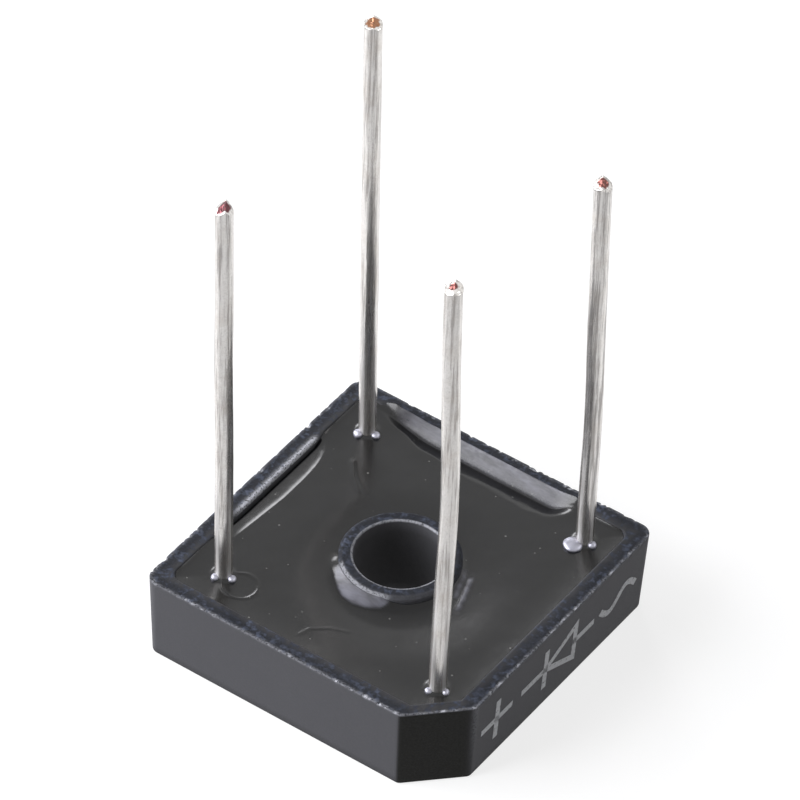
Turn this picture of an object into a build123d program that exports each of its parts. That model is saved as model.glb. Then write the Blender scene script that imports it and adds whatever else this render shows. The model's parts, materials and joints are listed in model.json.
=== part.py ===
from build123d import *
import math
import os

# Small potted bridge rectifier with four wire leads and a mounting hole through its middle.
# The origin is the centre of the closed mounting face, +Z runs along the leads, and the corner
# that is cut off to mark the positive lead points to +X -Y. Lengths are millimetres.

# Moulded case, open towards the leads and as wide as the lead pattern and the straps in it need
case_height = 4.2
case_draft = 2.6
case_corner_radius = 0.6
polarity_edge_radius = 0.3
case_base_radius = 0.12
wall_thickness = 0.8
polarity_wall = 0.6
floor_thickness = 0.8
cavity_draft = 1.0
cavity_corner_radius = 0.45
rim_edge_bevel = 0.1

# Screw hole and the boss round it
hole_diameter = 3.9
boss_wall = 0.6
boss_draft = 1.0
boss_edge_bevel = 0.08

# Wire leads, each with a flattened foot, a neck that tapers up to where the lead leaves the
# potting, and an end sheared off at its own length
lead_diameter = 0.8
lead_pitch = 10.6
lead_foot_diameter = 1.2
lead_foot_thickness = 0.3
lead_neck_diameter = 0.96
lead_ac_left_length = 20.45
lead_ac_right_length = 20.2
lead_positive_length = 22.0
lead_negative_length = 22.4
lead_ac_left_shear = 52.0
lead_ac_right_shear = 24.0
lead_positive_shear = 18.0
lead_negative_shear = 21.0

# Diode dies and the solder that holds them
die_side = 1.8
die_thickness = 0.28
die_bevel = 0.07
solder_inset = 0.05
solder_thickness = 0.08
foot_solder_toe = 0.1
foot_solder_climb = 0.15

# Stamped straps that join a lead to the two dies beside it
strap_thickness = 0.3
strap_margin = 0.1
strap_arm_inset = 0.4
strap_corner_bevel = 0.15
strap_foot_margin = 0.05
strap_floor_gap = 0.25
strap_wall_gap = 0.4
strap_polarity_gap = 0.15

# Potting compound, poured over the diodes and shrunk back from two walls and from the boss
potting_below_rim = 0.2
meniscus_height = 0.32
meniscus_spread = 0.3
back_dip_left_margin = 1.3
back_dip_right_margin = 2.7
back_dip_width = 1.3
back_dip_depth = 0.6
left_dip_front_margin = 3.1
left_dip_back_margin = 2.7
left_dip_width = 1.1
left_dip_depth = 0.55
boss_pool_margin = 0.75
boss_pool_depth = 0.95
boss_pool_shift = 0.65

# Extra length of a cutter past the face that it cuts through
overrun = 1.0

os.makedirs("parts", exist_ok=True)
rim_plane = Plane.XY.offset(case_height)
towards_polarity = Axis((0, 0, 0), (1, -1, 0))
upright = (Align.CENTER, Align.CENTER, Align.MIN)

# Sizes that follow from the ones above
hole_radius = hole_diameter / 2
boss_radius = hole_radius + boss_wall
lead_radius = lead_diameter / 2
lead_foot_radius = lead_foot_diameter / 2
lead_neck_radius = lead_neck_diameter / 2
lead_offset = lead_pitch / 2
foot_solder_radius = lead_foot_radius + foot_solder_toe
solder_side = die_side - 2 * solder_inset
strap_pad_side = die_side + 2 * strap_margin
strap_arm_width = strap_pad_side - 2 * strap_arm_inset
potting_top = case_height - potting_below_rim
meniscus_crest = potting_top + meniscus_height

# The walls stand clear of the straps, and at the polarity corner clear of the positive lead
cavity_depth = case_height - floor_thickness
cavity_lean = cavity_depth * math.tan(math.radians(cavity_draft))
cavity_side = lead_pitch + strap_pad_side + 2 * strap_wall_gap
case_side = cavity_side + 2 * wall_thickness
polarity_reach = foot_solder_radius + strap_foot_margin
polarity_room = polarity_reach + strap_polarity_gap + cavity_lean
strap_corner_cut = strap_pad_side - polarity_reach * math.sqrt(2)
cavity_cut = cavity_side - lead_pitch - polarity_room * math.sqrt(2)
polarity_cut = case_side - lead_pitch - (polarity_room + polarity_wall) * math.sqrt(2)

# Levels of the stack: straps of the two direct current leads below, the dies on them, and the
# straps of the two alternating current leads on top
lower_strap_base = floor_thickness + strap_floor_gap
lower_strap_top = lower_strap_base + strap_thickness
die_base = lower_strap_top + solder_thickness
die_top = die_base + die_thickness
upper_strap_base = die_top + solder_thickness

# Each lead: the side of the case that it is on along X and along Y, the base of its strap, its
# length above the potting and the slope of its sheared end
leads = {
    "ac_left": (-1, -1, upper_strap_base, lead_ac_left_length, lead_ac_left_shear),
    "ac_right": (1, 1, upper_strap_base, lead_ac_right_length, lead_ac_right_shear),
    "positive": (1, -1, lower_strap_base, lead_positive_length, lead_positive_shear),
    "negative": (-1, 1, lower_strap_base, lead_negative_length, lead_negative_shear),
}

# Each die sits halfway along one side, where two neighbouring straps overlap
dies = {
    "front": (0, -lead_offset),
    "right": (lead_offset, 0),
    "back": (0, lead_offset),
    "left": (-lead_offset, 0),
}


def case_outline(side, cut, corner_radius, cut_edge_radius=0):
    """Square seen from above, with three round corners and the polarity corner cut off."""
    with BuildSketch(rim_plane) as outline:
        Rectangle(side, side)
        chamfer(outline.vertices().sort_by(towards_polarity)[-1], length=cut)
        if cut_edge_radius:
            fillet(outline.vertices().sort_by(towards_polarity)[-2:], radius=cut_edge_radius)
        fillet(outline.vertices().sort_by(towards_polarity)[:3], radius=corner_radius)
    return outline.sketch


def drafted_block(outline, depth, draft_angle):
    """Block that hangs from an outline at the rim, its walls leaning inwards on the way down."""
    with BuildPart() as block:
        add(outline)
        extrude(amount=-depth)
        walls = block.faces().filter_by(Plane.XY, reverse=True)
        draft(walls, neutral_plane=rim_plane, angle=-draft_angle)
    return block.part


def standing_at(x, y, z):
    """Upright drawing plane whose own X runs along X and whose own Y runs up."""
    return Plane(origin=(x, y, z), x_dir=(1, 0, 0), z_dir=(0, -1, 0))


def dip_cutter(middle, along, length, width, depth):
    """Barrel that lies along a wall and scoops the potting beside it, deepest at the wall."""
    barrel_radius = (width**2 + depth**2) / (2 * depth)
    end_radius = barrel_radius - depth
    barrel_plane = Plane(origin=middle, x_dir=along, z_dir=Vector(along).cross(Vector(0, 0, 1)))
    with BuildPart() as barrel:
        with BuildSketch(barrel_plane):
            with BuildLine():
                lower_left = (-length / 2, -end_radius)
                lower_right = (length / 2, -end_radius)
                ThreePointArc(lower_left, (0, -barrel_radius), lower_right)
                Polyline(lower_right, (length / 2, 0), (-length / 2, 0), lower_left)
            make_face()
        revolve(axis=Axis(middle, along))
    return barrel.part.translate((0, 0, end_radius))


def label_and_write(piece, name):
    """Label a finished piece and write it under the same name."""
    piece.label = name
    export_step(piece, f"parts/{name}.step")
    return piece


def corner_strap(x_side, y_side, base):
    """Flat stamping under one lead, with an arm along each of the two sides that meet there."""
    x_line = x_side * lead_offset
    y_line = y_side * lead_offset
    with BuildPart() as strap:
        with BuildSketch(Plane.XY.offset(base)) as blank:
            with Locations((0, y_line), (x_line, 0), (x_line, y_line)):
                Rectangle(strap_pad_side, strap_pad_side)
            with Locations((x_line / 2, y_line)):
                Rectangle(lead_offset, strap_arm_width)
            with Locations((x_line, y_line / 2)):
                Rectangle(strap_arm_width, lead_offset)
            outwards = Axis((0, 0, 0), (x_side, y_side, 0))
            chamfer(blank.vertices().sort_by(outwards)[-1], length=strap_corner_cut)
            chamfer(blank.vertices(), length=strap_corner_bevel)
        extrude(amount=strap_thickness)
    return strap.part


def headed_lead(x, y, foot_base, length, shear_angle):
    """Straight round wire on a flattened foot and tapered neck, its end sheared off at a slope."""
    tip = potting_top + length
    foot_top = foot_base + lead_foot_thickness
    shear_middle = tip - lead_radius * math.tan(math.radians(shear_angle))
    with BuildPart() as lead:
        with Locations((x, y, foot_base)):
            Cylinder(lead_foot_radius, lead_foot_thickness, align=upright)
        with Locations((x, y, foot_top)):
            Cone(lead_neck_radius, lead_radius, meniscus_crest - foot_top, align=upright)
        with Locations((x, y, meniscus_crest)):
            Cylinder(lead_radius, tip - meniscus_crest, align=upright)
        sheared = Plane(origin=(x, y, shear_middle)).rotated((shear_angle, 0, math.degrees(math.atan2(y, x))))
        split(bisect_by=sheared, keep=Keep.BOTTOM)
    return lead.part


def foot_solder(x, y, base):
    """Solder between a lead's foot and its strap, drawn a little way up the foot in a cone."""
    foot_base = base + solder_thickness
    with BuildPart() as joint:
        with BuildSketch(standing_at(x, y, base)):
            with BuildLine():
                toe = (foot_solder_radius, 0)
                crown = (lead_foot_radius, solder_thickness + foot_solder_climb)
                seat = (lead_foot_radius, solder_thickness)
                Polyline((0, solder_thickness), (0, 0), toe, crown, seat, (0, solder_thickness))
            make_face()
        revolve(axis=Axis((x, y, 0), (0, 0, 1)))
    return joint.part


def square_layer(x, y, base, side, thickness):
    """Flat square layer of a die's stack."""
    with BuildPart() as layer:
        with BuildSketch(Plane.XY.offset(base)):
            with Locations((x, y)):
                Rectangle(side, side)
        extrude(amount=thickness)
    return layer.part


def diode_die(x, y):
    """Silicon die whose upper edges are bevelled all round."""
    with BuildPart() as die:
        with BuildSketch(Plane.XY.offset(die_base)):
            with Locations((x, y)):
                Rectangle(die_side, die_side)
        extrude(amount=die_thickness)
        chamfer(die.faces().sort_by(Axis.Z)[-1].edges(), length=die_bevel)
    return die.part


def meniscus(x, y):
    """Potting drawn up round one lead in a cone."""
    with BuildPart() as ring:
        with BuildSketch(standing_at(x, y, potting_top)):
            with BuildLine():
                spread = (lead_radius + meniscus_spread, 0)
                crest = (lead_radius, meniscus_height)
                Polyline((0, meniscus_height), (0, 0), spread, crest, (0, meniscus_height))
            make_face()
        revolve(axis=Axis((x, y, 0), (0, 0, 1)))
    return ring.part


# Spaces and bodies that more than one piece is shaped by
cavity_outline = case_outline(cavity_side, cavity_cut, cavity_corner_radius)
cavity = drafted_block(cavity_outline, cavity_depth, cavity_draft)
with BuildSketch(rim_plane) as boss_outline:
    Circle(boss_radius)
boss = drafted_block(boss_outline.sketch, cavity_depth, -boss_draft)

# Case: a drafted square tray with the boss standing in it and the screw hole through both
case_face = case_outline(case_side, polarity_cut, case_corner_radius, polarity_edge_radius)
with BuildPart() as case_shell:
    add(drafted_block(case_face, case_height, case_draft))
    fillet(case_shell.faces().sort_by(Axis.Z)[0].edges(), radius=case_base_radius)
    add(cavity, mode=Mode.SUBTRACT)
    add(boss)
    with Locations((0, 0, case_height)):
        Hole(radius=hole_radius, depth=case_height + overrun)
    boss_face, rim_face = case_shell.faces().group_by(Axis.Z)[-1].sort_by(SortBy.AREA)
    chamfer(rim_face.inner_wires()[0].edges(), length=rim_edge_bevel)
    chamfer(boss_face.edges(), length=boss_edge_bevel)
label_and_write(case_shell.part, "case_shell")

# Straps, leads and the solder under their feet
embedded = []
for name, (x_side, y_side, strap_base, length, shear_angle) in leads.items():
    x = x_side * lead_offset
    y = y_side * lead_offset
    strap_top = strap_base + strap_thickness
    foot_base = strap_top + solder_thickness
    strap = corner_strap(x_side, y_side, strap_base)
    lead = headed_lead(x, y, foot_base, length, shear_angle)
    solder = foot_solder(x, y, strap_top)
    embedded.append(label_and_write(strap, f"strap_{name}"))
    embedded.append(label_and_write(lead, f"lead_{name}"))
    embedded.append(label_and_write(solder, f"foot_solder_{name}"))

# Dies and the solder on both faces of each
for name, (x, y) in dies.items():
    die = diode_die(x, y)
    lower = square_layer(x, y, lower_strap_top, solder_side, solder_thickness)
    upper = square_layer(x, y, die_top, solder_side, solder_thickness)
    embedded.append(label_and_write(die, f"die_{name}"))
    embedded.append(label_and_write(lower, f"solder_below_die_{name}"))
    embedded.append(label_and_write(upper, f"solder_above_die_{name}"))

# Potting: fills the case round everything above
wall_line = cavity_side / 2
back_dip_middle = ((back_dip_left_margin - back_dip_right_margin) / 2, wall_line, potting_top)
back_dip_length = cavity_side - back_dip_left_margin - back_dip_right_margin
back_dip = dip_cutter(back_dip_middle, (1, 0, 0), back_dip_length, back_dip_width, back_dip_depth)
left_dip_middle = (-wall_line, (left_dip_front_margin - left_dip_back_margin) / 2, potting_top)
left_dip_length = cavity_side - left_dip_front_margin - left_dip_back_margin
left_dip = dip_cutter(left_dip_middle, (0, 1, 0), left_dip_length, left_dip_width, left_dip_depth)
boss_pool_radius = boss_radius + boss_pool_margin
pool_sphere_radius = (boss_pool_radius**2 + boss_pool_depth**2) / (2 * boss_pool_depth)
pool_shift = boss_pool_shift / math.sqrt(2)
pool_centre = (pool_shift, -pool_shift, potting_top + pool_sphere_radius - boss_pool_depth)
menisci = [meniscus(side[0] * lead_offset, side[1] * lead_offset) for side in leads.values()]
with BuildPart() as potting_compound:
    add(cavity)
    split(bisect_by=Plane.XY.offset(potting_top), keep=Keep.BOTTOM)
    with Locations(pool_centre):
        Sphere(pool_sphere_radius, mode=Mode.SUBTRACT)
    add(back_dip, mode=Mode.SUBTRACT)
    add(left_dip, mode=Mode.SUBTRACT)
    for ring in menisci:
        add(ring)
    add(boss, mode=Mode.SUBTRACT)
    for piece in embedded:
        add(piece, mode=Mode.SUBTRACT)
label_and_write(potting_compound.part, "potting_compound")
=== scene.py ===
import json
import math

import bpy
import numpy as np
from mathutils import Matrix, Vector, noise


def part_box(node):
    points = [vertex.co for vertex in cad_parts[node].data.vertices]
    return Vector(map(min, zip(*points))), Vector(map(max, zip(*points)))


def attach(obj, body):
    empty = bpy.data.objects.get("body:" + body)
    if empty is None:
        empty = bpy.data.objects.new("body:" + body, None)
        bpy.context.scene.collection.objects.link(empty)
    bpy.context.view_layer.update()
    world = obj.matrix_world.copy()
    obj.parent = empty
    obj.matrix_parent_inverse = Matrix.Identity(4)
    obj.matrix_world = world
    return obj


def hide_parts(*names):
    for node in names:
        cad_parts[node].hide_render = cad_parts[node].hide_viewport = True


# Looks of a small potted bridge rectifier. Shapes are worked out in millimetres, in the frame of
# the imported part, and become metres when a mesh is made.

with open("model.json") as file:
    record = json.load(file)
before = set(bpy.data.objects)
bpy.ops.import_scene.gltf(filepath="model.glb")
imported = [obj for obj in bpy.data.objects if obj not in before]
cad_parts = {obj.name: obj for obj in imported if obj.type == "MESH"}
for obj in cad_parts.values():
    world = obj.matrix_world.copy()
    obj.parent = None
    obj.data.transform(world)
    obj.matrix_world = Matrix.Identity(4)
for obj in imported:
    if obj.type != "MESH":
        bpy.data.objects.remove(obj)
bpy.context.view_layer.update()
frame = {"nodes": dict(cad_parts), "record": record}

MM = 0.001

# Sizes read from the frame
case_low, case_high = (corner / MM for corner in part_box("case_shell"))
floor_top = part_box("potting_compound")[0].z / MM
mounts = {mount["name"]: mount["dims"] for mount in frame["record"]["mounts"]}
case_side = case_high.x - case_low.x
rim_height = case_high.z
hole_radius = mounts["mounting_hole"]["r_mm"]
lead_radius = mounts["lead_pattern"]["stud_r_mm"]

# Case sizes that the part's source holds, repeated
case_draft = 2.6
case_corner_radius = 0.6
case_base_radius = 0.12
wall_thickness = 0.8
polarity_wall = 0.6
polarity_cut = 2.195
cavity_draft = 1.0
cavity_corner_radius = 0.45
boss_wall = 0.6
boss_draft = 1.0
potting_below_rim = 0.2
polarity_edge_radius = 0.3
cavity_edge_radius = 0.04

# Edges and mesh of the case and the potting that only the looks have
rim_round = 0.05
rim_inner_round = 0.12
boss_bevel_width = 0.15
boss_bevel_depth = 0.12
boss_bevel_curve = 1.35
hole_round = 0.12
mesh_step = 0.088
middle_level = 2.0
potting_side_levels = (3.4, 2.5)
potting_dip_stretch = (0.62, 0.95)
potting_edge_step = 0.0035
potting_least_step = 0.0028
outer_fine_depth = 0.4
cavity_fine_depth = 0.9
boss_fine_depth = 0.8
cavity_roughness = 0.3
boss_roughness = 0.7
hole_edge_highlight = 0.7

# Rough rim and its chips: each noise has its share and the size of its features
rim_roughness = 0.022
rim_bumps = ((0.6, 0.16), (0.5, 0.37))
chip_noise = ((1.0, 0.15), (0.7, 0.45))
chip_threshold = 0.12
chip_depth = 0.1
chip_reach = 0.13
pale_reach = 0.075
rim_band = 0.5

# Smear of compound over the rim at the back. Spans, here and below, are those of window()
smear_reach = 0.35
smear_slope = 0.84
smear_thickness = 0.03
smear_top_drop = 0.03
smear_span = (-6.5, 1.3, 4.5, 0.6)
smear_end_clearance = 0.6
smear_end_drop = 0.25
smear_waver = 0.014

# Pale wear with painted highlights, and painted shade, on the case
edge_wear_and_highlight = 0.25
chip_wear_and_highlight = 1.9
side_highlight = (0.55, 0.45)
side_highlight_reach = 6
inner_highlight = 1.3
inner_highlight_offset = 0.04
inner_highlight_width = 0.14
inner_highlight_depth = 0.2
inner_highlight_span = (-2.6, 1.2, 3.7, 0.5)
corner_highlight = 0.3
corner_highlight_width = 0.16
corner_gap = 0.2
# Painted shade on the cut face, in the hole and at the foot of the walls
cut_dark_margin = 0.11
cut_dark_ramp = 0.1
cut_dark_drop = 0.06
cut_dark_top_ramp = 0.05
hole_darkness = 0.4
base_dark_height = 0.16
base_dark_ramp = 0.1
wet_reach = 0.5
wet_ramp = 0.45

# Pale crescent beside the boss, a painted highlight: its width in directions from the hole, in degrees
crescent_places = (224, 230, 243, 257, 267, 278, 288, 298)
crescent_widths = (0.0, 0.22, 0.40, 0.62, 0.64, 0.50, 0.32, 0.0)
crescent_highlight = 0.45
crescent_highlight_width = 0.3
crescent_ramp = 0.16
crescent_tip_width = 0.2
grey_front_span = (286, 12, 352, 12)
grey_front_share = 0.62

# Levels and distances that follow
potting_top = rim_height - potting_below_rim
boss_radius = hole_radius + boss_wall
cut_distance = (case_side - polarity_cut) / math.sqrt(2)
cavity_half = case_side / 2 - wall_thickness
cavity_cut_distance = cut_distance - polarity_wall
case_lean = math.tan(math.radians(case_draft))

# Potting surface: wetting up the walls, the dips beside two of them and the pool round the boss
wall_wet_height = 0.09
wall_wet_reach = 1.2
surface_waver = 0.008
surface_waver_size = 0.9
surface_ripple = 0.0015
surface_ripple_size = 0.28
left_ramp_width = 0.15
left_ramp_slope = 0.27
left_floor_slope = 0.08
left_gutter_depth = 0.16
left_gutter_width = 0.16
left_dip_width = 0.88
left_dip_span = (-4.8, 3.4, 4.05, 0.9)
left_dip_back_ramp = 2.2
left_dip_back_bulge = 1.9
left_dip_narrowing = 0.09
back_dip_depth = 0.5
back_dip_width = 1.35
back_dip_span = (-6.2, 3.0, 4.25, 1.3)
back_dip_waver = 0.12
back_dip_left_bulge = 0.9
back_dip_right_bulge = 1.8
back_bend = 0.09
bend_share = 0.12
pool_depth = 0.3
pool_radius = 5.2
pool_flat = 1.8
pool_shift = 1.1
boss_climb_reach = 0.4
boss_climb_margin = 0.1
boss_climb_below_rim = 0.12
boss_climb_span = (205, 26, 312, 26)
boss_climb_streaks = 0.06
boss_lip_height = 0.14
boss_lip_reach = 0.4
boss_lip_start = 285
boss_lip_span = (0, 20, 130, 30)
wall_lip_height = 0.07
wall_lip_reach = 0.16
meniscus_height = 0.09
meniscus_reach = 0.26

# Marks in the potting: a ring beside one lead, faint ridges, which are routes with their height and
# width, and pale scuffs at the right of the boss, dull and painted pale as highlights
witness_place = (-4.2, -5.33)
witness_radius = 0.74
witness_width = 0.05
witness_height = 0.04
potting_ridges = (
    (((-5.0, 3.6), (-4.3, 2.7), (-3.4, 1.95)), 0.035, 0.12),
    (((-0.7, -6.25), (-0.55, -5.6), (0.1, -5.0), (0.9, -4.65)), 0.024, 0.07),
    (((2.5, 1.1), (2.74, 0.4), (3.02, -0.5)), 0.05, 0.11),
    (((2.85, 1.0), (3.22, 0.0), (3.5, -1.0)), 0.055, 0.12),
)
scuff_highlights = (
    ((2.35, 1.3), (2.62, 0.75), (2.76, 0.2), (3.05, -0.45)),
    ((2.8, 1.1), (3.0, 0.6), (3.24, -0.1), (3.52, -1.0)),
)
scuff_highlight_width = 0.1

# Patch of duller gloss in front of the boss, as painted shade
shade_radius = 3.1
shade_place = (0.6, -0.86)
shade_brim = 0.4
shade_span = (205, 25, 352, 25)

# Leads as they stand in the photo, with a column for each. The offsets of the foot and the tip from
# upright are along the picture's horizontal. A bead is its direction, distance, width and height
lead_names = ("ac_left", "ac_right", "positive", "negative")
lead_columns = {
    "foot_offset": (0.19, 0.16, 0.24, -0.12),
    "tip_offset": (-0.20, -0.18, -0.04, -0.65),
    "bow": (0.0, 0.10, 0.17, 0.0),
    "bow_at": (0.5, 0.4, 0.48, 0.5),
    "tarnish": (0.15, 0.3, 0.05, 0.08),
    "tip_slopes": ((1.0, 1.25, 0.25), (0.75, 0.75, 0.3), (0.5, 0.5, 0.35), (0.35, 0.35, 0.2)),
    "peak": ((0.06, 0.1), (-0.02, 0.16), (0.05, 0.16), (0.0, 0.2)),
    "core": (0.72, 0.62, 0.4, 0.75),
    "core_tone": (0.0, 0.2, 0.15, 1.0),
    "tip_drop": (0.2, 0.4, 0.0, 0.0),
    "beads": (
        ((250, 0.06, 0.18, 0.17), (352, 0.08, 0.19, 0.16)),
        ((248, 0.20, 0.42, 0.2), (350, 0.07, 0.19, 0.17)),
        ((248, 0.05, 0.17, 0.16), (352, 0.05, 0.17, 0.16)),
        ((246, 0.08, 0.22, 0.19), (354, 0.08, 0.2, 0.18)),
    ),
}
lead_rows = zip(*lead_columns.values())
lead_looks = {name: dict(zip(lead_columns, row)) for name, row in zip(lead_names, lead_rows)}
bow_length = 0.27
lead_relief_room = 0.022
wire_radius = lead_radius - lead_relief_room
bead_sunk = 0.05
lead_steps_round = 56
lead_step_along = 0.16
lead_groove_depth = 0.007
lead_groove_length = 9.0
lead_dent_share = 0.6
lead_dent_length = 0.8
lead_sway = 0.03
lead_sway_length = 6.0
cut_burr = 0.05
cut_crumple_size = 0.14
core_raggedness = 0.35
core_fade = 0.12
solder_runs = (262, 344)
solder_run_spread = 15.0
solder_run_height = 9.0
solder_patch_length = 1.3
bead_rings = 9
bead_steps = 20
bead_unevenness = 0.12

# Generic polarity symbols printed on the side wall at the positive and an alternating current lead
print_size = 1.9
print_width = 0.31
print_thickness = 0.008
print_level = 2.15
plus_place = -3.6
diode_place = 0.9
diode_reach = 0.55
wave_place = 5.1
wave_reach = 0.62
wave_rise = 0.2
least_mitre = 0.3

# Camera, found from the edges of the object in the photo
camera_azimuth = 33.271
camera_elevation = 45.279
camera_distance = 297.16
camera_target = (-3.932, 5.339, 6.557)
camera_roll = 2.927
camera_lens = 324.09
azimuth = math.radians(camera_azimuth)
across = np.array((math.cos(azimuth), math.sin(azimuth)))

# Lights: direction from the object, size, radiance and colour
softboxes = {
    "key_softbox": ((-0.60, -0.60, 0.53), 236.0, 7.2, (0.96, 0.965, 1.0)),
    "left_softbox": ((-0.92, -0.12, 0.37), 120.0, 8.0, (0.96, 0.965, 1.0)),
    "right_softbox": ((0.74, 0.45, 0.52), 90.0, 5.5, (1.0, 1.0, 1.0)),
    "rim_softbox": ((-0.68, 0.60, 0.36), 80.0, 7.5, (0.97, 0.97, 1.0)),
}
softbox_distance = 300.0
room_level = 0.12


def smooth_step(value):
    """Rises smoothly from 0 to 1 as the value does."""
    t = np.clip(value, 0, 1)
    return t * t * (3 - 2 * t)


def window(value, span):
    """Rises from 0 to 1 after a span's start and falls to 0 again before its end.

    A span is a start, the length of the rise, an end and the length of the fall."""
    start, rise, end, fall = span
    return smooth_step((value - start) / rise) * smooth_step((end - value) / fall)


def noise_field(points, size):
    """Smooth noise between about -1 and 1 at each point, with features of the given size."""
    flat = np.asarray(points).reshape(-1, 3) / size
    values = [noise.noise(point) for point in flat.tolist()]
    return np.array(values).reshape(np.shape(points)[:-1])


def layered_noise(points, parts):
    """Sum of noises, each given as its share and the size of its features."""
    return sum(share * noise_field(points, size) for share, size in parts)


def at_level(outline, z):
    """Points of an outline, all at one level."""
    return np.column_stack([outline, np.full(len(outline), z)])


def new_object(name, data):
    """New object in the scene."""
    made = bpy.data.objects.new(name, data)
    bpy.context.scene.collection.objects.link(made)
    return made


def mesh_object(name, points, faces, layers):
    """Mesh object from points in millimetres, with one vertex attribute for each layer."""
    mesh = bpy.data.meshes.new(name)
    mesh.from_pydata((np.asarray(points).reshape(-1, 3) * MM).tolist(), [], faces)
    for layer, values in layers.items():
        attribute = mesh.attributes.new(layer, "FLOAT", "POINT")
        attribute.data.foreach_set("value", np.asarray(values, np.float32).ravel())
    mesh.shade_smooth()
    return new_object(name, mesh)


def dress(piece, material, node):
    """Give a finished piece its material, put it under the root body and hide the CAD node it stands in
    for.
    """
    piece.data.materials.append(material)
    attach(piece, "root")
    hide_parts(node)


def ring_faces(rings, around, closed):
    """Quads that join neighbouring rings of points, and the last ring to the first if closed."""
    faces = []
    for ring in range(rings if closed else rings - 1):
        here = ring * around
        there = (ring + 1) % rings * around
        for step in range(around):
            after = (step + 1) % around
            faces.append((here + step, here + after, there + after, there + step))
    return faces


def tube_faces(rings, around, start):
    """Faces that join rings of points in a row, from a given point on, and one over each end."""
    faces = [tuple(start + corner for corner in face) for face in ring_faces(rings, around, False)]
    last = start + (rings - 1) * around
    return faces + [tuple(range(last, last + around)), tuple(reversed(range(start, start + around)))]


def blend(first, second, share):
    """Points part of the way from one row of points to another."""
    return first * (1 - share) + second * share


# Outlines of the case, all with the same count of points so that they join ring to ring
side_steps = []
arc_steps = (5, 14, 14, 14, 5)


def rounded_outline(inset, cut_inset, corner_radius, cut_radius):
    """Points round the case, moved inwards by the insets, anticlockwise from the cut corner."""
    half = case_side / 2 - inset
    short = math.sqrt(2) * (cut_distance - cut_inset) - half
    corners = np.array([(half, -short), (half, half), (-half, half), (-half, -half), (short, -half)])
    radii = (cut_radius, corner_radius, corner_radius, corner_radius, cut_radius)
    arcs = []
    for index, corner in enumerate(corners):
        before = corner - corners[index - 1]
        before /= np.linalg.norm(before)
        after = corners[(index + 1) % 5] - corner
        after /= np.linalg.norm(after)
        turn = math.acos(before @ after)
        outwards = np.array((before[1], -before[0]))
        centre = corner - before * radii[index] * math.tan(turn / 2) - outwards * radii[index]
        angles = np.linspace(0, turn, arc_steps[index])[:, None]
        arcs.append(centre + radii[index] * (np.cos(angles) * outwards + np.sin(angles) * before))
    if not side_steps:
        for arc, following in zip(arcs, arcs[1:] + arcs[:1]):
            side_steps.append(round(np.linalg.norm(following[0] - arc[-1]) / mesh_step))
    stretches = []
    for index, arc in enumerate(arcs):
        following = arcs[(index + 1) % 5]
        along = np.linspace(0, 1, side_steps[index] + 1)[1:-1, None]
        stretches += [arc, blend(arc[-1], following[0], along)]
    return np.concatenate(stretches)


rim_outline = rounded_outline(0, 0, case_corner_radius, polarity_edge_radius)
outline_angles = np.arctan2(rim_outline[:, 1], rim_outline[:, 0])
points_around = len(rim_outline)
lead_angles = np.linspace(0, 2 * math.pi, lead_steps_round, endpoint=False)


def circle(radius):
    """Circle round the hole's axis, its points in line with those of the outlines."""
    return radius * np.stack([np.cos(outline_angles), np.sin(outline_angles)], axis=1)


def outer_outline(z, inset=0.0):
    """Outside of the drafted case at one level."""
    lean = (rim_height - z) * case_lean + inset
    return rounded_outline(lean, lean, case_corner_radius - lean, polarity_edge_radius)


def cavity_outline(z, inset=0.0):
    """Inside of the drafted wall at one level."""
    lean = (rim_height - z) * math.tan(math.radians(cavity_draft)) + inset
    radius = cavity_corner_radius - lean
    return rounded_outline(wall_thickness + lean, polarity_wall + lean, radius, cavity_edge_radius)


def boss_circle(z):
    """Outside of the drafted boss at one level."""
    return circle(boss_radius + (rim_height - z) * math.tan(math.radians(boss_draft)))


def quarter_turn(steps):
    """Angles from just after the start to the end of a rounded edge."""
    return np.linspace(0, math.pi / 2, steps + 1)[1:]


def outer_rings():
    """Rings from under the hole, over the base and up the outside to the rim's outer edge."""
    hole, base = circle(hole_radius + hole_round), outer_outline(0, case_base_radius)
    rings = [(blend(hole, base, share), 0.0, 0, 0) for share in np.linspace(0, 1, 6)]
    for angle in quarter_turn(6):
        z = case_base_radius * (1 - math.cos(angle))
        rings.append((outer_outline(z, case_base_radius * (1 - math.sin(angle))), z, 0, 0))
    fine_start = rim_height - outer_fine_depth
    wall_levels = np.linspace(case_base_radius, fine_start, 12)[1:]
    for z in (*wall_levels, *np.linspace(fine_start, rim_height - rim_round, 7)[1:]):
        rings.append((outer_outline(z), z, 0, math.exp(-(((rim_height - z) / chip_reach) ** 2))))
    for angle in quarter_turn(3):
        inset = rim_round * (1 - math.cos(angle))
        z = rim_height - rim_round * (1 - math.sin(angle))
        rings.append((outer_outline(z, inset), z, math.sin(angle), 1))
    return rings


def cavity_rings():
    """Rings over the rim, down the inside of the wall and along the floor of the cavity."""
    rings = []
    rim_outer = outer_outline(rim_height, rim_round)
    rim_inner = cavity_outline(rim_height, -rim_inner_round)
    for share in np.linspace(0, 1, 12)[1:]:
        edge = math.exp(-((share * (wall_thickness - rim_inner_round) / chip_reach) ** 2))
        rings.append((blend(rim_outer, rim_inner, share), rim_height, 1, edge))
    for angle in quarter_turn(4):
        inset = -rim_inner_round * (1 - math.sin(angle))
        z = rim_height - rim_inner_round * (1 - math.cos(angle))
        rings.append((cavity_outline(z, inset), z, 1 - 0.5 * math.sin(angle), 0))
    top = rim_height - rim_inner_round
    for z in (*np.linspace(top, top - cavity_fine_depth, 11)[1:], middle_level, floor_top):
        rings.append((cavity_outline(z), z, cavity_roughness, 0))
    wall, boss = cavity_outline(floor_top), boss_circle(floor_top)
    return rings + [(blend(wall, boss, share), floor_top, 0, 0) for share in (0.33, 0.67)]


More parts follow.
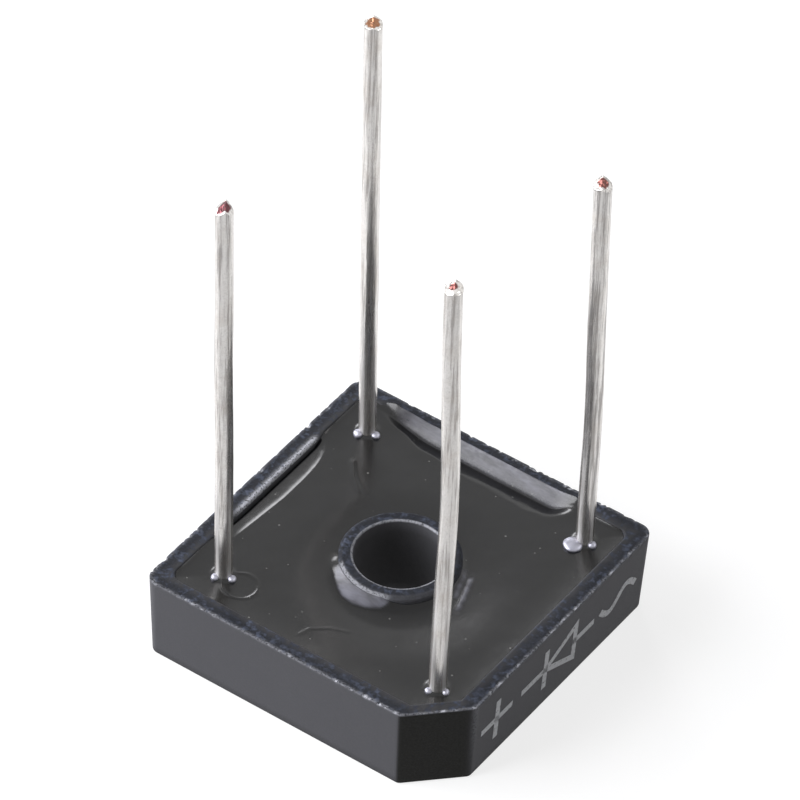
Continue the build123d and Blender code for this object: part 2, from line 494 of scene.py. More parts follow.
def boss_rings():
    """Rings up the boss, over its bevel and its top, and down the hole."""
    bevel_foot = rim_height - boss_bevel_depth
    levels = (floor_top, middle_level, *np.linspace(bevel_foot - boss_fine_depth, bevel_foot, 6))
    rings = [(boss_circle(z), z, boss_roughness, 0) for z in levels]
    for share in np.linspace(0, 1, 9)[1:]:
        radius = boss_radius - boss_bevel_width * share
        z = rim_height - boss_bevel_depth * (1 - share) ** boss_bevel_curve
        rings.append((circle(radius), z, 1, 0))
    for radius in np.linspace(boss_radius - boss_bevel_width, hole_radius + hole_round, 6)[1:]:
        rings.append((circle(radius), rim_height, 1, 0))
    for angle in quarter_turn(4):
        radius = hole_radius + hole_round * (1 - math.sin(angle))
        z = rim_height - hole_round * (1 - math.cos(angle))
        # The hole's rounded lip is painted pale as a highlight
        rings.append((circle(radius), z, 1 - math.sin(angle), hole_edge_highlight * math.sin(2 * angle)))
    levels = np.linspace(rim_height - hole_round, hole_round, 8)[1:]
    return rings + [(circle(hole_radius), z, 0, 0) for z in levels]


def smear_level(y):
    """Level of the smear's slope, from the rim down into the dip at the back."""
    return rim_height - smear_top_drop - smear_slope * (cavity_half + smear_reach - y)


def facing(x, y):
    """Direction from the middle of the hole, in degrees from 0 to 360."""
    return np.degrees(np.arctan2(y, x)) % 360


def crescent_width(x, y):
    """Width of the pale crescent of painted highlight beside the boss, in the direction of each place.
    """
    return np.interp(facing(x, y), crescent_places, crescent_widths)


def roughen_case(points, rough, edge, outside):
    """Roughen the rim, lower it under the smear, chip its outer edge and return the chips."""
    x, y, z = points[..., 0], points[..., 1], points[..., 2]
    points[..., 2] -= rough * rim_roughness * (1 + layered_noise(points, rim_bumps))

    near_back = (y > cavity_half - 0.02) & (z > rim_height - rim_band)
    under_smear = smear_level(y) - smear_thickness + smear_end_clearance * (1 - window(x, smear_span))
    points[..., 2] = np.where(near_back, np.minimum(z, under_smear), z)

    chips = np.clip(layered_noise(points, chip_noise) - chip_threshold, 0, 1)
    depth = chip_depth * chips * edge * outside
    inwards = cavity_outline(rim_height) - rim_outline
    inwards /= np.linalg.norm(inwards, axis=1)[:, None]
    points[..., :2] += depth[..., None] * inwards
    points[..., 2] -= depth
    return chips


def from_cut_corner(x, y):
    """Distance from the upright edge between the cut face and the printed wall."""
    return np.hypot(x - case_side / 2, y + case_side / 2 - polarity_cut)


def painted_shade_places(x, y, z):
    """How dark the case is painted as shade: on the cut face, inside the hole and at the foot of the
    walls.
    """
    cut_wall = (x - y) / math.sqrt(2) - cut_distance + (rim_height - z) * case_lean
    cut_face = smooth_step((cut_wall + cut_dark_margin) / cut_dark_ramp)
    cut_face *= smooth_step((rim_height - cut_dark_drop - z) / cut_dark_top_ramp)
    cut_face *= 1 - np.exp(-((from_cut_corner(x, y) / corner_gap) ** 2))
    in_hole = (np.hypot(x, y) < hole_radius + 0.01) & (z < rim_height - hole_round)
    base = smooth_step((base_dark_height - z) / base_dark_ramp)
    return np.maximum.reduce([cut_face, hole_darkness * in_hole, base])


def wear_and_highlight_places(x, y, z, edge, chips):
    """How pale the case is: wear and painted highlight on the outer edge, painted highlight inside the
    left wall and at the cut's edge.
    """
    pale = np.clip(edge, 1e-6, 1) ** ((chip_reach / pale_reach) ** 2)
    # Painted highlight along the top of the left wall's inside
    inner = np.exp(-(((x + cavity_half + inner_highlight_offset) / inner_highlight_width) ** 2))
    inner *= window(y, inner_highlight_span) * (z > rim_height - inner_highlight_depth)
    # The pale edge is painted stronger towards the front and right, as a highlight
    far = side_highlight[0] + side_highlight[1] * smooth_step((x - y + 1) / side_highlight_reach)
    # Painted highlight along the upright edge beside the cut
    upright = corner_highlight * np.exp(-((from_cut_corner(x, y) / corner_highlight_width) ** 2))
    upright *= z > corner_gap
    return pale * (edge_wear_and_highlight + chip_wear_and_highlight * chips) * far + inner_highlight * inner + upright


def build_case():
    """Case with a rough rim, chipped outer edge, slope under the smear and a smooth cut corner."""
    # A ring is its outline, its level, how rough the surface is and how near an edge of pale wear and
    # painted highlight it is
    rings = outer_rings() + cavity_rings() + boss_rings()
    points = np.array([at_level(ring[0], ring[1]) for ring in rings])
    shares = np.array([ring[2:] for ring in rings], float)[..., None]
    rough, edge = shares[:, 0].repeat(points_around, 1), shares[:, 1].repeat(points_around, 1)
    outside = np.hypot(points[..., 0], points[..., 1]) > boss_radius + 1
    chips = roughen_case(points, rough, edge, outside)

    x, y, z = points[..., 0], points[..., 1], points[..., 2]
    on_bevel = np.hypot(x, y) - boss_radius + boss_bevel_width
    # Painted highlight of the crescent on the boss's bevel
    painted_crescent = smooth_step(crescent_width(x, y) / crescent_highlight_width) * ~outside
    painted_crescent *= smooth_step((on_bevel + 0.02) / 0.08)
    grey_front = window(facing(x, y), grey_front_span) * ~outside
    grey_front *= smooth_step((on_bevel + 0.06) / 0.1)
    # Pale wear and painted highlight on the edges, and the hole's lip painted pale as a highlight
    worn = np.where(outside, wear_and_highlight_places(x, y, z, edge, chips), edge)
    from_middle = np.maximum(np.abs(x), np.abs(y))
    layers = {
        "rim": rough * (1 - painted_crescent) * (1 - grey_front_share * grey_front),
        "worn": worn + crescent_highlight * painted_crescent * (z > rim_height - rim_band),
        # Painted shade on the cut face, in the hole and at the foot of the walls
        "dark": painted_shade_places(x, y, z),
        "wet": smooth_step((cavity_half + wet_reach - from_middle) / wet_ramp) * outside,
    }
    return mesh_object("case_tray", points, ring_faces(len(rings), points_around, True), layers)


def lead_middle(name):
    """Foot and tip of a lead's middle line, with the lean that it has in the photo."""
    low, high = (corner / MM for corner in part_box("lead_" + name))
    middle = np.array(((low.x + high.x) / 2, (low.y + high.y) / 2))
    foot = middle + across * lead_looks[name]["foot_offset"]
    tip = middle + across * lead_looks[name]["tip_offset"]
    return foot, tip, high.z


def ridge(x, y, route, height, width):
    """Low ridge along a route of points, fading towards both of its ends."""
    lift = np.zeros_like(x)
    route = np.array(route)
    for start, end in zip(route, route[1:]):
        run = end - start
        share = np.clip(((x - start[0]) * run[0] + (y - start[1]) * run[1]) / (run @ run), 0, 1)
        away = np.hypot(x - start[0] - share * run[0], y - start[1] - share * run[1])
        lift = np.maximum(lift, height * np.exp(-((away / width) ** 2)))
    to_ends = [np.hypot(x - end[0], y - end[1]) for end in (route[0], route[-1])]
    return lift * smooth_step(np.minimum(*to_ends) / (3 * width))


def shoulder(share):
    """Even slope from 0 to 1 that starts in a short bend."""
    share = np.clip(share, 0, 1)
    return share * share / (share + bend_share) * (1 + bend_share)


def left_dip(y, from_left):
    """How open the dip beside the left wall is, and how far it lowers the surface."""
    opened = window(y, left_dip_span)
    to_end = np.maximum(left_dip_span[2] - y, 0.05)
    width = left_dip_width * np.tanh(to_end / left_dip_back_ramp * left_dip_back_bulge)
    width *= 1 - left_dip_narrowing * np.clip(-y, 0, 4)
    inside = np.maximum(width - from_left, 0)
    ramp = left_ramp_slope * left_ramp_width * np.tanh(inside / left_ramp_width)
    gutter = left_gutter_depth * smooth_step(1 - from_left / left_gutter_width)
    return opened, opened * (ramp + left_floor_slope * inside + gutter)


def back_dip(x, from_back, waver):
    """How open the dip beside the back wall is, and how far it lowers the surface."""
    opened = window(x, back_dip_span)
    left_end, left_ramp, right_end, right_ramp = back_dip_span
    to_right = np.maximum(right_end - x, 0.03)
    to_left = np.maximum(x - left_end, 0.1)
    width = back_dip_width * (1 + back_dip_waver * waver)
    width *= np.tanh(to_right / right_ramp * back_dip_right_bulge)
    width *= np.tanh(to_left / left_ramp * back_dip_left_bulge)
    return opened, back_dip_depth * opened * shoulder(1 - from_back / width)


def smear_lift(x, y, level, ripple):
    """How far the smear stands above the surface so far, joined to it in a round bend."""
    slope_level = smear_level(y) - smear_end_drop * (1 - window(x, smear_span))
    slope_level += smear_waver * ripple * smooth_step((y - cavity_half - 0.1) / 0.3)
    gap = slope_level - level
    return 0.5 * (np.sqrt(gap**2 + back_bend**2) + gap) * (cavity_half - y < back_dip_width)


def pool_drop(x, y):
    """Depth of the wide shallow pool round the boss."""
    shift = pool_shift / math.sqrt(2)
    pool = (pool_radius - np.hypot(x - shift, y + shift)) / (pool_radius - pool_flat)
    return pool_depth * smooth_step(pool)


def beside_boss(x, y, level):
    """Surface with a low lip in front of the boss and a climb up its left side."""
    direction = facing(x, y)
    from_boss = np.hypot(x, y) - boss_radius
    lip = boss_lip_height * window((direction - boss_lip_start) % 360, boss_lip_span)
    level = level + lip * np.clip(1 - from_boss / boss_lip_reach, 0, 1) ** 2

    streaks = noise_field(np.stack([3.2 * np.arctan2(y, x), 0 * x, from_boss], axis=-1), 0.5)
    reach = np.maximum(crescent_width(x, y) + boss_climb_margin, boss_climb_reach)
    climb = shoulder(1 - from_boss / (reach * (1 + boss_climb_streaks * streaks)))
    climb *= window(direction, boss_climb_span)
    return level + (rim_height - boss_climb_below_rim - level) * climb


def wetting(x, y, left_open, back_open):
    """How far the surface is drawn up the walls, which it isn't inside the dips."""
    from_left, from_back = cavity_half + x, cavity_half - y
    from_cut = cavity_cut_distance - (x - y) / math.sqrt(2)
    nearest = np.minimum.reduce([cavity_half - x, cavity_half + y, from_cut, from_left, from_back])
    dry = np.maximum(left_open * (from_left < from_back), back_open * (from_back < from_left))
    lift = wall_wet_height * np.clip(1 - nearest / wall_wet_reach, 0, 1) ** 2
    far_walls = np.minimum(from_left, from_back)
    lift += wall_lip_height * np.clip(1 - far_walls / wall_lip_reach, 0, 1) ** 2
    return (1 - dry) * lift


def potting_height(x, y):
    """Level of the potting's surface at each place."""
    places = np.stack([x, y, np.zeros_like(x)], axis=-1)
    waver = noise_field(places, surface_waver_size)
    ripple = noise_field(places, surface_ripple_size)
    level = potting_top + surface_waver * waver + surface_ripple * ripple

    left_open, left_drop = left_dip(y, cavity_half + x)
    level -= left_drop
    back_open, back_drop = back_dip(x, cavity_half - y, waver)
    level -= back_drop
    level += smear_lift(x, y, level, ripple)
    level -= pool_drop(x, y)
    level = beside_boss(x, y, level)
    level += wetting(x, y, left_open, back_open)

    for name in lead_looks:
        foot = lead_middle(name)[0]
        away = np.hypot(x - foot[0], y - foot[1]) - lead_radius
        level += meniscus_height * np.clip(1 - away / meniscus_reach, 0, 1) ** 2

    witness_away = np.hypot(x - witness_place[0], y - witness_place[1]) - witness_radius
    level += witness_height * np.exp(-((witness_away / witness_width) ** 2))
    for route, height, width in potting_ridges:
        level += ridge(x, y, route, height, width)
    return level


def potting_shares():
    """Shares of the way from the boss to the wall at which the surface has rings of points.

    They are closest in the dips, and one lies close to each edge to keep its shading crisp."""
    coarse = np.linspace(0, 1, 70)
    fine = np.linspace(*potting_dip_stretch, 58)
    edges = (potting_edge_step, 1 - potting_edge_step)
    shares = np.unique(np.round(np.concatenate([coarse, fine, edges]), 5))
    return shares[np.concatenate([[True], np.diff(shares) > potting_least_step])]


def on_crescent(x, y):
    """Where the pale crescent of painted highlight beside the boss is, from 0 to 1."""
    width = crescent_width(x, y)
    crescent = smooth_step((boss_radius + width - np.hypot(x, y)) / crescent_ramp + 0.3)
    return crescent * smooth_step(width / crescent_tip_width)


def grainy_and_sheen_places(x, y, level):
    """Where the potting is dull and painted pale as a sheen: on the smear, the crescent and the scuffs.
    """
    on_smear = smooth_step((smear_level(y) + 0.02 - level) / 0.12 + 1)
    on_smear *= smooth_step((y - cavity_half + 0.5) / 0.75)
    grainy = np.maximum(on_smear, on_crescent(x, y))
    for route in scuff_highlights:
        grainy = np.maximum(grainy, ridge(x, y, route, 1.0, scuff_highlight_width))
    return grainy


def shade_places(x, y):
    """Where the gloss is duller, as painted shade: in front of the boss, outside the crescent."""
    brim = shade_radius - np.hypot(x - shade_place[0], y - shade_place[1])
    shade = smooth_step(brim / shade_brim) * (1 - on_crescent(x, y))
    return shade * window(facing(x, y), shade_span)


def build_potting():
    """Potting with its wetted edges, dips, pool, menisci and marks, closed underneath."""
    inner = boss_circle(potting_top)
    outer = cavity_outline(potting_top)
    share = window(outer[:, 0], smear_span) * smooth_step((outer[:, 1] - cavity_half + 0.4) / 0.35)
    outer[:, 1] += smear_reach * share
    flat = np.array([blend(inner, outer, share) for share in potting_shares()])
    x, y = flat[..., 0], flat[..., 1]
    level = potting_height(x, y)
    under = [at_level(cavity_outline(z), z) for z in (*potting_side_levels, floor_top)]
    under += [at_level(boss_circle(z), z) for z in (floor_top, potting_side_levels[-1])]
    points = np.concatenate([np.dstack([flat, level]), np.array(under)])
    plain = np.zeros((len(under), points_around))
    layers = {
        "grainy": np.concatenate([grainy_and_sheen_places(x, y, level), plain]),
        "shade": np.concatenate([shade_places(x, y), plain]),
    }
    return mesh_object("potting_fill", points, ring_faces(len(points), points_around, True), layers)


def tip_limit(looks, middle, top, x, y):
    """Highest level of a snipped end at each place: a ridge that falls off on every side."""
    x, y = x - middle[0], y - middle[1]
    sideways = x * math.cos(azimuth) + y * math.sin(azimuth) - looks["peak"][0]
    backwards = y * math.cos(azimuth) - x * math.sin(azimuth) - looks["peak"][1]
    left_slope, right_slope, front_slope = looks["tip_slopes"]
    fall = np.maximum(-left_slope * sideways, right_slope * sideways)
    return top - (fall + front_slope * np.abs(backwards))


def wire_middle(looks, foot, tip, top, z):
    """Middle of a leaning wire at one level, with its bow and a slight sway."""
    share = np.clip((z - potting_top) / (top - potting_top), 0, 1)
    bow = looks["bow"] * math.exp(-(((share - looks["bow_at"]) / bow_length) ** 2))
    sway = lead_sway * math.sin(math.pi * share) * noise.noise((0.0, top, z / lead_sway_length))
    return blend(foot, tip, share) + bow * across + sway * across


def wire_ring(looks, middle, top, z, run):
    """Ring of the wire at one level, with its grooves, dents and solder, cut off at its end."""
    along = z / lead_groove_length
    grooves = [noise.noise((6 * math.cos(a), 6 * math.sin(a) + top, along)) for a in lead_angles]
    along = z / lead_dent_length + top
    dents = [noise.noise((2 * math.cos(a), 2 * math.sin(a), along)) for a in lead_angles]
    relief = np.array(grooves) + lead_dent_share * np.array(dents) + 2 * run
    radius = wire_radius + lead_groove_depth * relief
    x = middle[0] + radius * np.cos(lead_angles)
    y = middle[1] + radius * np.sin(lead_angles)
    return np.column_stack([x, y, np.minimum(z, tip_limit(looks, middle, top, x, y))])


def tip_rings(looks, middle, top, end):
    """Rings over the snipped end towards its middle, and how much copper shows on each."""
    rings, cores = [], []
    for share in np.linspace(1, 0.04, 13)[1:]:
        cap = np.column_stack([blend(middle, end[:, :2], share), end[:, 2]])
        cap[:, 2] = tip_limit(looks, middle, top, cap[:, 0], cap[:, 1])
        crumple = noise_field(cap, cut_crumple_size)
        cap[:, 2] -= cut_burr * (0.6 + crumple) * (1 - share**4)
        rings.append(cap)
        ragged = looks["core"] * (1 + core_raggedness * crumple)
        cores.append(smooth_step((ragged - share) / core_fade + 0.5))
    return rings, cores


def build_lead(name):
    """Drawn wire with faint grooves, a lean and a slight bow, snipped off at its end."""
    looks = lead_looks[name]
    foot, tip, top = lead_middle(name)
    top -= looks["tip_drop"]
    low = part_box("lead_" + name)[0].z / MM
    apart = np.degrees(lead_angles) - np.array(solder_runs)[:, None]
    spread = np.exp(-((apart / solder_run_spread) ** 2)).max(axis=0)
    rings, runs = [], []
    for z in np.linspace(low, top, round((top - low) / lead_step_along)):
        patchy = 0.8 + 0.5 * noise.noise((0.0, top, z / solder_patch_length))
        fade = smooth_step((potting_top + solder_run_height - z) / solder_run_height)
        runs.append(spread * patchy * fade)
        middle = wire_middle(looks, foot, tip, top, z)
        rings.append(wire_ring(looks, middle, top, z, runs[-1]))
    caps, cores = tip_rings(looks, middle, top, rings[-1])
    plain = [np.zeros(lead_steps_round)]
    shape = (len(rings) + len(caps), lead_steps_round)
    layers = {
        "core": np.array(plain * len(rings) + cores),
        "run": np.array(runs + plain * len(caps)),
        "core_tone": np.full(shape, looks["core_tone"]),
        "tarnish": np.full(shape, looks["tarnish"]),
    }
    return mesh_object(name + "_wire", np.array(rings + caps), tube_faces(*shape, 0), layers)


def bead_points(middle, direction, size):
    """Rings of points over one blob of solder, which swells unevenly."""
    points = []
    for tilt in np.linspace(-0.5, 0.97, bead_rings) * math.pi / 2:
        for turn in np.linspace(0, 2 * math.pi, bead_steps, endpoint=False):
            normal = (math.cos(tilt) * math.cos(turn), math.cos(tilt) * math.sin(turn), math.sin(tilt))
            swell = 1 + bead_unevenness * noise.noise((normal[0] + direction, *normal[1:]))
            points.append(np.array(middle) + np.array(size) * swell * np.array(normal))
    return points


def build_beads():
    """Small blobs of solder that ran down two sides of each lead."""
    for name, looks in lead_looks.items():
        foot = lead_middle(name)[0]
        points, faces = [], []
        for direction, away, wide, high in looks["beads"]:
            angle = math.radians(direction)
            place = foot + (wire_radius + away) * np.array((math.cos(angle), math.sin(angle)))
            faces += tube_faces(bead_rings, bead_steps, len(points))
            points += bead_points((*place, potting_top + bead_sunk), direction, (wide, wide, high))
        piece = mesh_object("solder_beads_" + name, points, faces, {})
        piece.data.materials.append(bead_finish)
        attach(piece, "root")


def print_strokes():
    """Polarity symbols as strokes on the side wall, each point a place along it and a height."""
    half = print_size / 2
    low, middle, high = print_level - half, print_level, print_level + half
    swing = np.linspace(-1, 1, 25)
    wave_heights = middle + wave_rise * print_size * np.sin(math.pi * swing)
    tail = diode_place + print_size * diode_reach
    point = diode_place - print_size * diode_reach
    return (
        ((plus_place, low), (plus_place, high)),
        ((plus_place - half, middle), (plus_place + half, middle)),
        ((plus_place + print_size, middle), (point, middle)),
        ((point, low), (point, high)),
        ((point, middle), (tail, high), (tail, low), (point, middle)),
        ((tail, middle), (wave_place - print_size, middle)),
        np.column_stack([wave_place + swing * print_size * wave_reach, wave_heights]),
    )


def stroke_edges(line):
    """Points along both edges of a stroke of ink, mitred at its bends, and whether it is closed."""
    runs = np.diff(line, axis=0)
    runs /= np.linalg.norm(runs, axis=1)[:, None]
    bends = np.concatenate([runs[:1], runs[:-1] + runs[1:], runs[-1:]])
    closed = np.allclose(line[0], line[-1])
    if closed:
        bends[0] = bends[-1] = runs[0] + runs[-1]
    bends /= np.linalg.norm(bends, axis=1)[:, None]
    sides = np.column_stack([-bends[:, 1], bends[:, 0]])
    along = np.concatenate([runs[:1], runs])
    mitre = 1 / np.maximum(np.abs((bends * along).sum(axis=1)), least_mitre)
    half = (print_width / 2 * mitre)[:, None] * sides
    ends = np.zeros_like(line)
    if not closed:
        ends[0], ends[-1] = -runs[0], runs[-1]
    line = line + ends * print_width / 2
    return np.concatenate([line + half, line - half]), closed


def stroke_faces(start, count, closed):
    """Faces of one stroke of ink: front, back and both sides, and its ends unless it is closed."""
    faces = []
    for left in range(start, start + 2 * (count - 1), 2):
        right = left + 2 * count
        faces.append((left, right, right + 2, left + 2))
        faces.append((left + 1, left + 3, right + 3, right + 1))
        faces.append((left, left + 2, left + 3, left + 1))
        faces.append((right, right + 1, right + 3, right + 2))
    for left in () if closed else (start, start + 2 * (count - 1)):
        right = left + 2 * count
        faces.append((left, left + 1, right + 1, right))
    return faces


def build_print():
    """Thin printed polarity symbols on the side wall beside the positive lead."""
    points, faces = [], []
    for stroke in print_strokes():
        edges, closed = stroke_edges(np.array(stroke, float))
        faces += stroke_faces(len(points), len(stroke), closed)
        for place, height in edges:
            wall = case_side / 2 - (rim_height - height) * case_lean
            points += [(wall + side, place, height) for side in (print_thickness, -print_thickness)]
    piece = mesh_object("polarity_print", points, faces, {})
    piece.data.shade_flat()
    piece.data.materials.append(print_material())
    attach(piece, "root")


class Nodes:
    """Short calls for the shader nodes of one material or of the world."""

    def __init__(self, owner):
        owner.use_nodes = True
        self.owner = owner
        self.tree = owner.node_tree

    def feed(self, node, inputs):
        """Give a node's inputs values or the outputs of other nodes."""
        for socket, value in inputs.items():
            if isinstance(value, bpy.types.NodeSocket):
                self.tree.links.new(value, node.inputs[socket])
            else:
                node.inputs[socket].default_value = value

    def add(self, kind, inputs, **settings):
        """Shader node with its inputs and settings."""
        made = self.tree.nodes.new("ShaderNode" + kind)
        for setting, value in settings.items():
            setattr(made, setting, value)
        self.feed(made, inputs)
        return made

    def stretch(self, place, factors):
        """Place times a factor along each axis."""
        return self.add("VectorMath", {0: place, 1: factors}, operation="MULTIPLY").outputs[0]

    def noise(self, place, scale, detail, roughness):
        """Noise with the given count of features a millimetre."""
        inputs = {"Vector": place, "Scale": scale, "Detail": detail, "Roughness": roughness}
        return self.add("TexNoise", inputs).outputs["Fac"]

    def remap(self, value, low, high, to_low=0.0, to_high=1.0):
        """Stretch a value's range to another range, held at both ends."""
        inputs = {0: value, 1: low, 2: high, 3: to_low, 4: to_high}
        return self.add("MapRange", inputs).outputs[0]

    def mix(self, share, first, second):
        """Mix of two colours by a share."""
        return self.add("Mix", {0: share, 6: first, 7: second}, data_type="RGBA").outputs[2]

    def maths(self, operation, first, second):
        """Result of an operation on two values."""
        return self.add("Math", {0: first, 1: second}, operation=operation).outputs[0]

    def multiply(self, first, second):
        """Product of two values."""
        return self.maths("MULTIPLY", first, second)

    def layer(self, name):
        """Value of a vertex attribute of the mesh."""
        return self.add("Attribute", {}, attribute_name=name).outputs["Fac"]

    def ray(self, kind):
        """1 for rays of one kind, and 0 for others."""
        return self.add("LightPath", {}).outputs["Is " + kind + " Ray"]

    def seen(self):
        """1 for what the camera and the gloss see, and 0 for other light."""
        return self.maths("MAXIMUM", self.ray("Camera"), self.ray("Glossy"))

    def finish(self, colour, roughness, height, relief, others):
        """The material, with its colour, roughness, relief in metres and other shader inputs."""
        bump = self.add("Bump", {"Distance": relief, "Height": height})
        surface = {"Base Color": colour, "Roughness": roughness, "Normal": bump.outputs[0]}
        self.feed(self.tree.nodes["Principled BSDF"], surface | others)
        return self.owner


def new_material(name):
    """Nodes of a new material, and the object's own coordinates in millimetres."""
    look = Nodes(bpy.data.materials.new(name))
    return look, look.stretch(look.add("TexCoord", {}).outputs["Object"], (1000, 1000, 1000))


def case_material():
    """Filled resin: fine matte walls, speckled blue-grey rim, pale chips and edges partly painted
    highlight, and painted shade on the cut face, hole and foot.
    """
    look, place = new_material("filled_resin")
    fine = look.noise(place, 11.0, 4.0, 0.7)
    blotch = look.noise(place, 4.2, 2.0, 0.5)
    cloud = look.noise(place, 0.7, 2.0, 0.5)
    wall = look.mix(look.remap(fine, 0.3, 0.7), (0.082, 0.082, 0.09, 1), (0.108, 0.108, 0.117, 1))
    wall = look.mix(look.multiply(cloud, 0.3), wall, (0.07, 0.07, 0.078, 1))
    dark = look.mix(look.remap(fine, 0.35, 0.65), (0.004, 0.005, 0.007, 1), (0.02, 0.022, 0.031, 1))
    wetted = look.multiply(look.layer("wet"), look.remap(blotch, 0.66, 0.46))
    dark = look.mix(wetted, dark, (0.04, 0.04, 0.043, 1))
    speckle = look.multiply(look.remap(blotch, 0.5, 0.72), look.remap(cloud, 0.35, 0.6, 0.25, 0.8))
    rim_colour = look.mix(speckle, dark, (0.085, 0.1, 0.145, 1))
    colour = look.mix(look.layer("rim"), wall, rim_colour)
    # Pale wear and painted highlight on the edges, the hole's lip and the crescent
    wear_and_highlight_mask = look.multiply(look.layer("worn"), look.remap(fine, 0.38, 0.52))
    colour = look.mix(wear_and_highlight_mask, colour, (0.6, 0.61, 0.66, 1))
    # Painted shade on the cut face, in the hole and at the foot of the walls
    colour = look.mix(look.layer("dark"), colour, (0.007, 0.007, 0.006, 1))
    roughness = look.remap(fine, 0.3, 0.7, 0.5, 0.72)
    return look.finish(colour, roughness, fine, 0.000012, {"Specular IOR Level": 0.2})


def print_material():
    """Pale grey ink, worn through to the resin in places."""
    look, place = new_material("pale_ink")
    fine = look.noise(place, 7.0, 4.0, 0.7)
    colour = look.mix(look.remap(fine, 0.34, 0.44), (0.12, 0.12, 0.13, 1), (0.74, 0.75, 0.78, 1))
    return look.finish(colour, look.remap(fine, 0.3, 0.7, 0.5, 0.7), fine, 0.000004, {})


def potting_material():
    """Glossy near-black compound with faint haze, a few pale specks, dull places painted pale as a
    sheen and a patch of painted shade.
    """
    look, place = new_material("potting_gloss")
    haze = look.noise(place, 0.8, 4.0, 0.6)
    grain = look.noise(place, 6.0, 3.0, 0.6)
    colour = look.mix(haze, (0.002, 0.002, 0.002, 1), (0.007, 0.007, 0.008, 1))
    cells = look.add("TexVoronoi", {"Vector": place, "Scale": 1.8})
    near = look.remap(cells.outputs["Distance"], 0.05, 0.1, 1.0, 0.0)
    chosen = look.add("SeparateColor", {0: cells.outputs["Color"]}).outputs[0]
    speck = look.multiply(near, look.remap(chosen, 0.3, 0.9))
    colour = look.mix(look.multiply(speck, 0.8), colour, (0.2, 0.2, 0.19, 1))
    grainy = look.layer("grainy")
    cloudy = look.noise(look.stretch(place, (0.7, 3.0, 1.0)), 1.0, 3.0, 0.6)
    # Pale sheen painted on the dull smear, crescent and scuffs
    pale = look.mix(look.remap(cloudy, 0.36, 0.64), (0.05, 0.05, 0.06, 1), (0.15, 0.15, 0.18, 1))
    colour = look.mix(grainy, colour, pale)
    smooth = look.remap(grain, 0.3, 0.7, 0.18, 0.26)
    coarse = look.remap(grain, 0.3, 0.7, 0.3, 0.42)
    roughness = look.add("Mix", {0: grainy, 2: smooth, 3: coarse}).outputs[0]
    # Duller gloss in front of the boss, as painted shade
    gloss = look.remap(look.layer("shade"), 0.0, 1.0, 0.5, 0.33)
    return look.finish(colour, roughness, grain, 0.000001, {"Specular IOR Level": gloss})


def wire_material():
    """Tinned copper wire: pale metal with darker lines along it, and a core of copper at its end."""
    look, place = new_material("tinned_wire")
    lines = look.noise(look.stretch(place, (7.0, 7.0, 0.3)), 1.0, 4.0, 0.65)
    patches = look.noise(place, 0.9, 4.0, 0.65)
    grain = look.noise(place, 14.0, 3.0, 0.7)
    colour = look.mix(look.remap(lines, 0.36, 0.5), (0.49, 0.465, 0.445, 1), (0.86, 0.835, 0.81, 1))
    warm = look.multiply(look.remap(patches, 0.45, 0.7), 0.45)
    colour = look.mix(warm, colour, (0.6, 0.54, 0.48, 1))
    dull = look.multiply(look.remap(grain, 0.5, 0.72), 0.4)
    colour = look.mix(dull, colour, (0.4, 0.385, 0.37, 1))
    dark_lines = look.multiply(look.layer("tarnish"), look.remap(lines, 0.56, 0.44))
    colour = look.mix(dark_lines, colour, (0.1, 0.098, 0.1, 1))
    run = look.layer("run")
    solder = look.mix(look.remap(lines, 0.36, 0.6), (0.48, 0.47, 0.46, 1), (0.84, 0.83, 0.82, 1))
    colour = look.mix(run, colour, solder)
    red = look.mix(grain, (0.055, 0.014, 0.016, 1), (0.22, 0.075, 0.085, 1))
    orange = look.mix(grain, (0.2, 0.08, 0.04, 1), (0.55, 0.29, 0.17, 1))
    colour = look.mix(look.layer("core"), colour, look.mix(look.layer("core_tone"), red, orange))
    bright = look.remap(lines, 0.3, 0.6, 0.28, 0.18)
    roughness = look.add("Mix", {0: run, 2: bright, 3: 0.45}).outputs[0]
    metallic = look.remap(run, 0.0, 1.0, 0.86, 0.15)
    return look.finish(colour, roughness, lines, 0.00001, {"Metallic": metallic})


def inner_material(name, first, second, rough):
    """Metallic finish of solder or of a piece inside the potting, mottled between two colours."""
    look, place = new_material(name)
    mottle = look.noise(place, 5.0, 4.0, 0.6)
    colour = look.mix(mottle, first, second)
    roughness = look.remap(mottle, 0.3, 0.7, rough - 0.08, rough + 0.08)
    return look.finish(colour, roughness, mottle, 0.000004, {"Metallic": 1.0})


def floor_material():
    """Matte pale floor, white to the camera, that the gloss sees darker on the camera's side.

    It is as in a studio whose white backdrop is lit from behind."""
    look = Nodes(bpy.data.materials.new("pale_floor"))
    place = look.add("NewGeometry", {}).outputs["Position"]
    inputs = {0: place, 1: (math.sin(azimuth), -math.cos(azimuth), 0)}
    ahead = look.add("VectorMath", inputs, operation="DOT_PRODUCT").outputs["Value"]
    mirrored = look.multiply(look.ray("Glossy"), look.remap(ahead, 0.002, 0.014, 0.76, 0.4))
    direct = look.multiply(look.ray("Camera"), 0.76)
    inputs = {
        "Base Color": look.mix(look.seen(), (0.25, 0.25, 0.25, 1), (0.36, 0.36, 0.36, 1)),
        "Roughness": 0.9,
        "Specular IOR Level": 0.0,
        "Emission Strength": look.maths("MAXIMUM", mirrored, direct),
    }
    look.feed(look.tree.nodes["Principled BSDF"], inputs)
    return look.owner


def build_stage():
    """Pale floor that keeps the object's shadow, and a white room that lights the object little."""
    mesh = bpy.data.meshes.new("floor")
    reach = 4.0
    corners = [(-reach, -reach, 0), (reach, -reach, 0), (reach, reach, 0), (-reach, reach, 0)]
    mesh.from_pydata(corners, [], [(0, 1, 2, 3)])
    floor = new_object("floor", mesh)
    mesh.materials.append(floor_material())

    bpy.context.scene.world = bpy.data.worlds.new("white_room")
    room = Nodes(bpy.context.scene.world)
    strength = room.remap(room.seen(), 0.0, 1.0, room_level)
    room.feed(room.tree.nodes["Background"], {"Color": (1, 1, 1, 1), "Strength": strength})


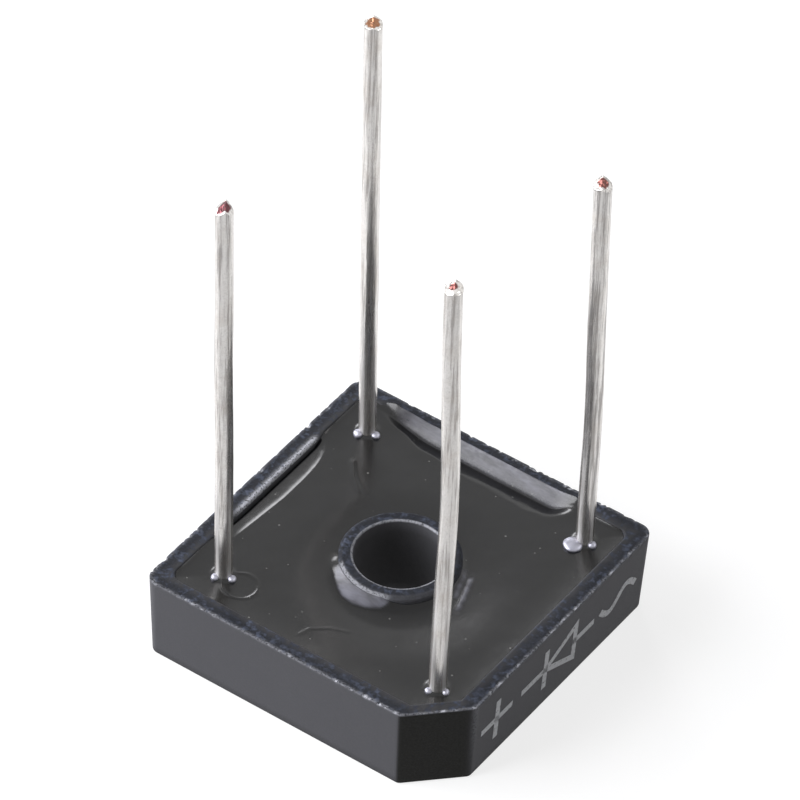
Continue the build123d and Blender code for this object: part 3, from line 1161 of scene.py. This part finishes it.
def add_softbox(name, direction, size, radiance, colour):
    """Square lamp that faces the object from a direction."""
    lamp = bpy.data.lights.new(name, "AREA")
    lamp.size = size * MM
    lamp.color = colour
    lamp.energy = radiance * math.pi * lamp.size**2
    holder = new_object(name, lamp)
    towards = Vector(direction).normalized()
    holder.location = towards * softbox_distance * MM
    holder.rotation_euler = towards.to_track_quat("Z", "Y").to_euler()


def add_camera():
    """Camera at the photo's viewing angle."""
    elevation = math.radians(camera_elevation)
    level = math.cos(elevation)
    place = Vector((math.sin(azimuth) * level, -math.cos(azimuth) * level, math.sin(elevation)))
    place *= camera_distance
    away = place - Vector(camera_target)
    turn = away.to_track_quat("Z", "Y").to_matrix() @ Matrix.Rotation(math.radians(camera_roll), 3, "Z")
    data = bpy.data.cameras.new("photo_camera")
    data.lens = camera_lens
    data.clip_start = 0.01
    data.clip_end = 10.0
    holder = new_object("photo_camera", data)
    holder.matrix_world = Matrix.Translation(place * MM) @ turn.to_4x4()
    bpy.context.scene.camera = holder


dress(build_case(), case_material(), "case_shell")
dress(build_potting(), potting_material(), "potting_compound")
bead_finish = inner_material("bright_solder", (0.24, 0.24, 0.29, 1), (0.48, 0.48, 0.54, 1), 0.46)
build_beads()
build_print()
wire = wire_material()
for lead_name in lead_looks:
    dress(build_lead(lead_name), wire, "lead_" + lead_name)

inner_finishes = {
    "strap": inner_material("strap_copper", (0.60, 0.30, 0.19, 1), (0.80, 0.48, 0.34, 1), 0.4),
    "die": inner_material("die_silicon", (0.12, 0.13, 0.15, 1), (0.30, 0.31, 0.34, 1), 0.3),
    "solder": inner_material("dull_solder", (0.42, 0.42, 0.43, 1), (0.66, 0.66, 0.67, 1), 0.5),
}
for node_name, node in frame["nodes"].items():
    for kind, finish in inner_finishes.items():
        if node_name.startswith(kind) or node_name.startswith("foot_" + kind):
            node.data.materials.clear()
            node.data.materials.append(finish)

build_stage()
for lamp_name, lamp_values in softboxes.items():
    add_softbox(lamp_name, *lamp_values)
add_camera()
bpy.context.scene.view_settings.view_transform = "Standard"
